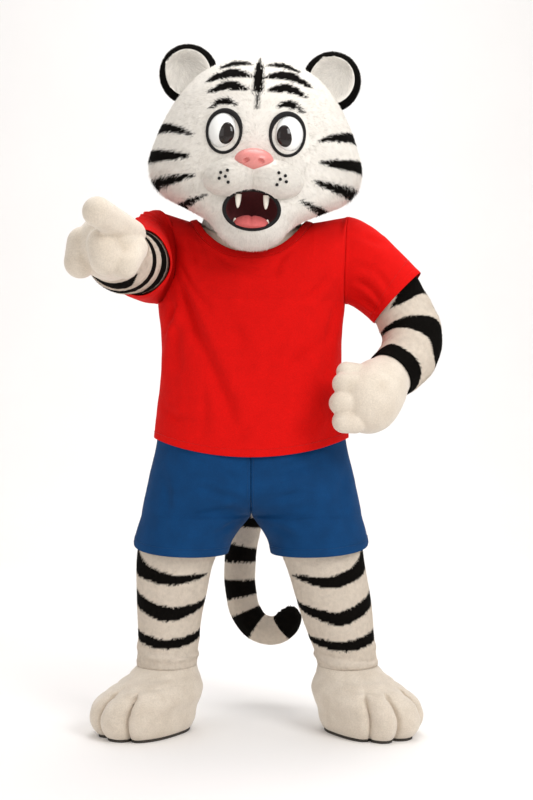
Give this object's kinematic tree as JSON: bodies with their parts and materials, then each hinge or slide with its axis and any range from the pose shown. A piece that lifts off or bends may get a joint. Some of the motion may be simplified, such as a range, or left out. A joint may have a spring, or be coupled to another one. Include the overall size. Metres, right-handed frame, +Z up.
{
  "type": "tiger mascot costume",
  "caption": "White tiger costume in a worn pose: furry body suit, padded hands and boots, round foam head, long tail, T-shirt and shorts, hollow inside.",
  "frame": {"origin": "between the shoulders, inside the suit, where the wearer's shoulders hold the costume up, 1.44 m above the soles' undersides", "axes": "+Z up from the soles to the head, -Y the way the costume faces, +X its wearer's left"},
  "size_m": [0.9699, 1.1621, 1.8973],
  "materials": {
    "fur_cream": "rough",
    "fur_white": "rough",
    "fur_black": "rough",
    "shirt_jersey": "matte",
    "shorts_twill": "matte",
    "plush_cream": "matte",
    "sole_rubber": "matte",
    "eye_white": "gloss",
    "iris_brown": "gloss",
    "nose_vinyl": "satin",
    "mouth_dark": "matte",
    "tongue_pink": "matte",
    "tooth_white": "satin"
  },
  "bodies": {
    "root": {"suit_front": "fur_cream", "suit_back": "fur_cream", "suit_sleeve_right": "fur_cream", "suit_sleeve_left": "fur_cream", "suit_leg_right": "fur_cream", "suit_leg_left": "fur_cream", "tail": "fur_cream", "suit_neck": "fur_white", "head_shell": "fur_white", "muzzle": "fur_white", "ear_inner_right": "fur_white", "ear_inner_left": "fur_white", "ear_right": "fur_black", "ear_left": "fur_black", "shirt_front": "shirt_jersey", "shirt_back": "shirt_jersey", "shirt_sleeve_right": "shirt_jersey", "shirt_sleeve_left": "shirt_jersey", "shirt_neck_rib": "shirt_jersey", "shorts_front_right": "shorts_twill", "shorts_front_left": "shorts_twill", "shorts_back_right": "shorts_twill", "shorts_back_left": "shorts_twill", "shorts_waistband": "shorts_twill", "hand_right": "plush_cream", "hand_left": "plush_cream", "boot_right": "plush_cream", "boot_left": "plush_cream", "sole_right": "sole_rubber", "sole_left": "sole_rubber", "eye_right": "eye_white", "eye_left": "eye_white", "iris_right": "iris_brown", "iris_left": "iris_brown", "nose": "nose_vinyl", "mouth_lining": "mouth_dark", "tongue": "tongue_pink", "fang_right": "tooth_white", "fang_left": "tooth_white"}
  },
  "joints": []
}
